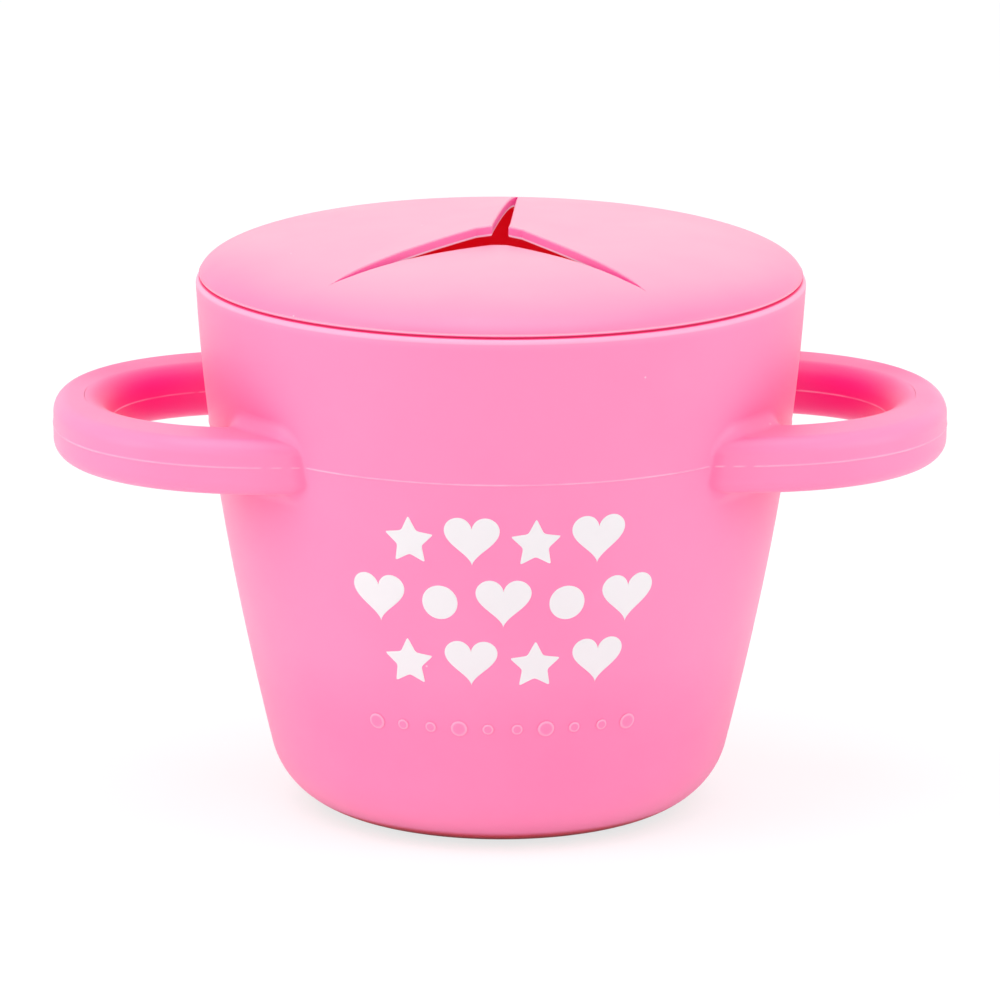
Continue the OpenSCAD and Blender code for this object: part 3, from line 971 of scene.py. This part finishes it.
# Each deep colour is where painted shade leans the colour, and random tone a little.
cup_silicone = silicone("cup_silicone", (1.0, 0.25, 0.49), (0.95, 0.0, 0.22),
                        depth=1.4, roughness=0.44, grain=0.35, dust=0.5)
# The lid is the same rubber as the cup: its paler pink is painted light, standing in for the white
# sheen its top shows when seen at a grazing angle.
lid_silicone_painted_paler = silicone("lid_silicone_painted_paler", (1.0, 0.36, 0.52), (0.95, 0.0, 0.3),
                        depth=1.2, roughness=0.44, grain=0.35, dust=0.4)
print_white = silicone("print_white", (0.85, 0.82, 0.84), (0.82, 0.72, 0.77),
                       depth=0.3, roughness=0.6, grain=0.2, dust=0.0)

for piece in (tub, right_loop, left_loop, raised):
    piece.data.materials.append(cup_silicone)
for piece in (ring, front_sheet, rear_left_sheet, rear_right_sheet):
    piece.data.materials.append(lid_silicone_painted_paler)
printed.data.materials.append(print_white)
print("materials:", cup_silicone.name, lid_silicone_painted_paler.name, print_white.name)

# %% [markdown]
# ## Stage, lights and camera
# The floor and the background are plain white, and the light is a wide soft one from above and
# one from each side, as in a product booth. Turning the lamps up until the floor burns out would
# wash out the pink, so the white is in the floor and the world themselves: the camera sees them
# brighter than they light the cup. Close to the base the floor gives no light back, which keeps
# the line where cup and table meet dark. The camera looks 13.6 degrees down from a metre away.

# %% Floor and world
FLOOR_HALF = 6.0
FLOOR_LEVEL = -0.00005
FLOOR_PALE = 0.95
FLOOR_SEEN = 0.3
FLOOR_GLOW = 0.74
DARK_REACH = 0.027
PALE_REACH = 0.029


def white_floor():
    """A wide pale floor that keeps the cup's shadow. To the camera it is a dim white with a glow
    of its own; to the cup it is pale, and black within a short reach of the axis."""
    mesh = bpy.data.meshes.new("floor")
    corners = [(x * FLOOR_HALF, y * FLOOR_HALF, FLOOR_LEVEL)
               for x, y in ((-1, -1), (1, -1), (1, 1), (-1, 1))]
    mesh.from_pydata(corners, [], [(0, 1, 2, 3)])
    floor = bpy.data.objects.new("floor", mesh)
    bpy.context.scene.collection.objects.link(floor)
    material = bpy.data.materials.new("floor_white")
    material.use_nodes = True
    nodes, links = material.node_tree.nodes, material.node_tree.links
    shader = nodes["Principled BSDF"]
    shader.inputs["Roughness"].default_value = 0.9
    shader.inputs["Specular IOR Level"].default_value = 0.0
    shader.inputs["Emission Color"].default_value = (1, 1, 1, 1)
    path = nodes.new("ShaderNodeLightPath")
    place = nodes.new("ShaderNodeTexCoord")
    reach = nodes.new("ShaderNodeVectorMath")
    reach.operation = "LENGTH"
    links.new(place.outputs["Object"], reach.inputs[0])
    pale = nodes.new("ShaderNodeMapRange")
    for name, value in (("From Min", DARK_REACH), ("From Max", PALE_REACH),
                        ("To Min", 0.0), ("To Max", FLOOR_PALE)):
        pale.inputs[name].default_value = value
    links.new(reach.outputs["Value"], pale.inputs["Value"])
    for seen, target in ((FLOOR_SEEN, "Base Color"), (FLOOR_GLOW, "Emission Strength")):
        mix = nodes.new("ShaderNodeMix")
        mix.inputs["A"].default_value, mix.inputs["B"].default_value = 0.0, seen
        if target == "Base Color":
            links.new(pale.outputs["Result"], mix.inputs["A"])
        links.new(path.outputs["Is Camera Ray"], mix.inputs["Factor"])
        links.new(mix.outputs["Result"], shader.inputs[target])
    mesh.materials.append(material)
    return floor


def white_world(light, shown):
    """A white surround: one strength lights the object, another is what the camera sees."""
    world = bpy.data.worlds.new("booth")
    bpy.context.scene.world = world
    world.use_nodes = True
    nodes, links = world.node_tree.nodes, world.node_tree.links
    background = nodes["Background"]
    path = nodes.new("ShaderNodeLightPath")
    mix = nodes.new("ShaderNodeMix")
    mix.inputs["A"].default_value = light
    mix.inputs["B"].default_value = shown
    seen = nodes.new("ShaderNodeMath")
    seen.operation = "MAXIMUM"
    links.new(path.outputs["Is Camera Ray"], seen.inputs[0])
    links.new(path.outputs["Is Glossy Ray"], seen.inputs[1])
    links.new(seen.outputs[0], mix.inputs["Factor"])
    background.inputs["Color"].default_value = (1, 1, 1, 1)
    links.new(mix.outputs["Result"], background.inputs["Strength"])


white_floor()
white_world(light=0.68, shown=1.0)
print("the floor lies", -FLOOR_LEVEL / MM, "mm under the cup")


# %% Lamps
def soft_lamp(name, place, size, power):
    """A square area lamp at a place in metres, aimed at the middle of the cup."""
    data = bpy.data.lights.new(name, "AREA")
    data.size = size
    data.energy = power
    lamp = bpy.data.objects.new(name, data)
    lamp.location = place
    aim = Vector((0, 0, 0.05)) - Vector(place)
    lamp.rotation_euler = aim.to_track_quat("-Z", "Y").to_euler()
    bpy.context.scene.collection.objects.link(lamp)
    return lamp


for lamp in (soft_lamp("overhead", (-0.1, -0.15, 1.0), size=0.9, power=5.0),
             soft_lamp("front_left", (-1.1, -0.42, 0.38), size=0.7, power=3.4),
             soft_lamp("front_right", (1.15, -0.38, 0.38), size=0.7, power=3.3)):
    print(lamp.name, "gives", round(lamp.data.energy, 2), "W")

# %% Camera
CAMERA_DISTANCE = 1.0
CAMERA_HEIGHT = 0.28784
CAMERA_PITCH = 0.2378
CAMERA_TURN = math.radians(-2.0)
CAMERA_ROLL = 0.0042
FOCAL_PIXELS = 6924.8
IMAGE_SIZE = 1000
SENSOR = 36.0


def photo_camera():
    """The photo's camera: out along -Y, turned about Z, pitched down, and rolled a touch."""
    data = bpy.data.cameras.new("photo_camera")
    data.sensor_width = SENSOR
    data.lens = SENSOR * FOCAL_PIXELS / IMAGE_SIZE
    data.clip_end = 20
    camera = bpy.data.objects.new("photo_camera", data)
    turn = Matrix.Rotation(CAMERA_TURN, 4, "Z")
    out = Matrix.Translation((0, -CAMERA_DISTANCE, CAMERA_HEIGHT))
    pitch = Matrix.Rotation(math.pi / 2 - CAMERA_PITCH, 4, "X")
    camera.matrix_world = turn @ out @ pitch @ Matrix.Rotation(CAMERA_ROLL, 4, "Z")
    bpy.context.scene.collection.objects.link(camera)
    bpy.context.scene.camera = camera
    return camera


camera = photo_camera()
print("the lens is", round(camera.data.lens, 1), "mm on a", SENSOR, "mm sensor")
bpy.context.scene.view_settings.view_transform = "Standard"
